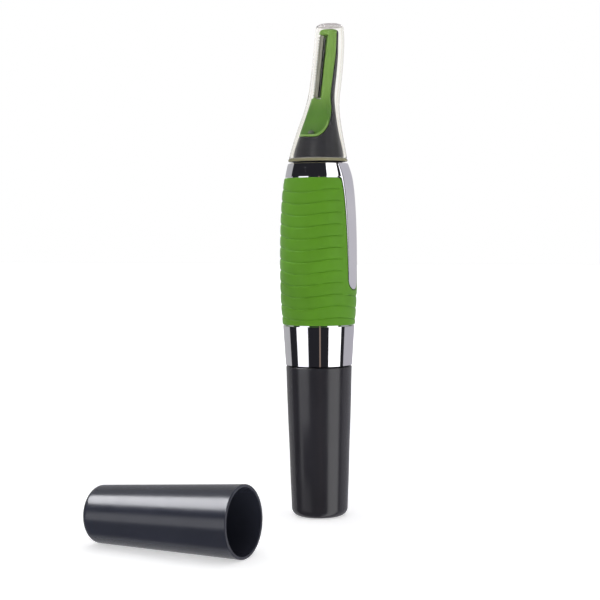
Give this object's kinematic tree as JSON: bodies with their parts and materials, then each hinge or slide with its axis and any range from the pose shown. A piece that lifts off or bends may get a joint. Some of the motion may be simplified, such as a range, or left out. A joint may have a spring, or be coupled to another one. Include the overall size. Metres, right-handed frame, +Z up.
{
  "type": "nose hair trimmer",
  "caption": "Pen-shaped battery nose hair trimmer with a green ribbed grip, chrome collar and clip, clear head guard, and a loose black travel cap beside it.",
  "frame": {"origin": "centre of the trimmer's foot, on the floor", "axes": "+Z up the trimmer, -Y the way the blade's teeth face, +Y the clip's side, +X the lamp's side"},
  "size_m": [0.0787, 0.0499, 0.1389],
  "materials": {
    "black_gloss": "semi-gloss, near black",
    "green_holder": "satin leaf green",
    "green_rubber": "soft matte green rubber",
    "chrome": "bright plating",
    "clear": "clear plastic, faintly cream at its lip",
    "steel": "ground steel",
    "brass": "plain brass",
    "copper": "copper winding",
    "ferrite": "sintered ferrite",
    "white_plastic": "moulded natural plastic",
    "board": "green board",
    "red_wire": "red insulation",
    "black_wire": "black insulation",
    "seal": "black seal rubber",
    "label": "plain grey cell label"
  },
  "bodies": {
    "handle": {"head_shell": "black_gloss", "blade_holder": "green_holder", "fixed_comb": "steel", "blade_spring": "steel", "led": "clear", "led_board": "board", "led_wire_red": "red_wire", "led_wire_black": "black_wire", "main_tube": "chrome", "grip_sleeve": "green_rubber", "chassis_left": "white_plastic", "chassis_right": "white_plastic", "rod_guide": "white_plastic", "motor_can": "steel", "motor_end_cap": "black_gloss", "motor_magnet_left": "ferrite", "motor_magnet_right": "ferrite", "motor_terminal_red": "brass", "motor_terminal_black": "brass", "positive_contact": "brass", "switch_contact": "brass"},
    "rotor": {"motor_armature": "copper", "motor_commutator": "copper", "motor_shaft": "steel", "drive_cam": "white_plastic"},
    "cutter": {"moving_blade": "steel", "blade_carrier": "white_plastic", "drive_rod": "steel", "cam_follower": "white_plastic", "return_spring": "steel"},
    "guard": {"head_guard": "clear"},
    "clip": {"clip": "chrome"},
    "switch": {"switch_ring": "black_gloss", "switch_wiper": "brass"},
    "barrel": {"barrel": "black_gloss", "barrel_seal": "seal", "battery_sleeve": "white_plastic", "contact_strip": "brass", "spring_plate": "brass", "battery_spring": "steel"},
    "battery": {"battery_cell": "label", "battery_button": "steel"},
    "travel_cap": {"travel_cap": "black_gloss"}
  },
  "joints": [
    {"name": "rotor_spin", "type": "hinge", "parent": "handle", "child": "rotor", "pos_m": [0, 0, 0.075], "axis": [0, 0, 1], "continuous": true},
    {"name": "cutter_stroke", "type": "slide", "parent": "handle", "child": "cutter", "axis": [0, 0.1167, 0.9932], "range_m": [-0.0004, 0.0004], "stiffness_N_per_m": 60, "deforming": ["return_spring"]},
    {"name": "guard_lift", "type": "slide", "parent": "handle", "child": "guard", "axis": [0, 0.1219, 0.9925], "range_m": [0, 0.045]},
    {"name": "clip_flex", "type": "hinge", "parent": "handle", "child": "clip", "pos_m": [0, 0.0081, 0.099], "axis": [1, 0, 0], "range_deg": [0, 5], "stiffness_Nm_per_rad": 0.5},
    {"name": "switch_twist", "type": "hinge", "parent": "handle", "child": "switch", "pos_m": [0, 0, 0.0488], "axis": [0, 0, 1], "range_deg": [0, 40]},
    {"name": "barrel_pull", "type": "slide", "parent": "switch", "child": "barrel", "axis": [0, 0, -1], "range_m": [0, 0.058]},
    {"name": "battery_out", "type": "slide", "parent": "barrel", "child": "battery", "axis": [0, 0, 1], "range_m": [0, 0.027]},
    {"name": "cap_lift", "type": "slide", "parent": "handle", "child": "travel_cap", "axis": [0, 0, 1], "range_m": [0, 0.1]}
  ],
  "couplings": [
    {"joint": "battery_out", "follows": "barrel_pull", "ratio": 0.45}
  ]
}
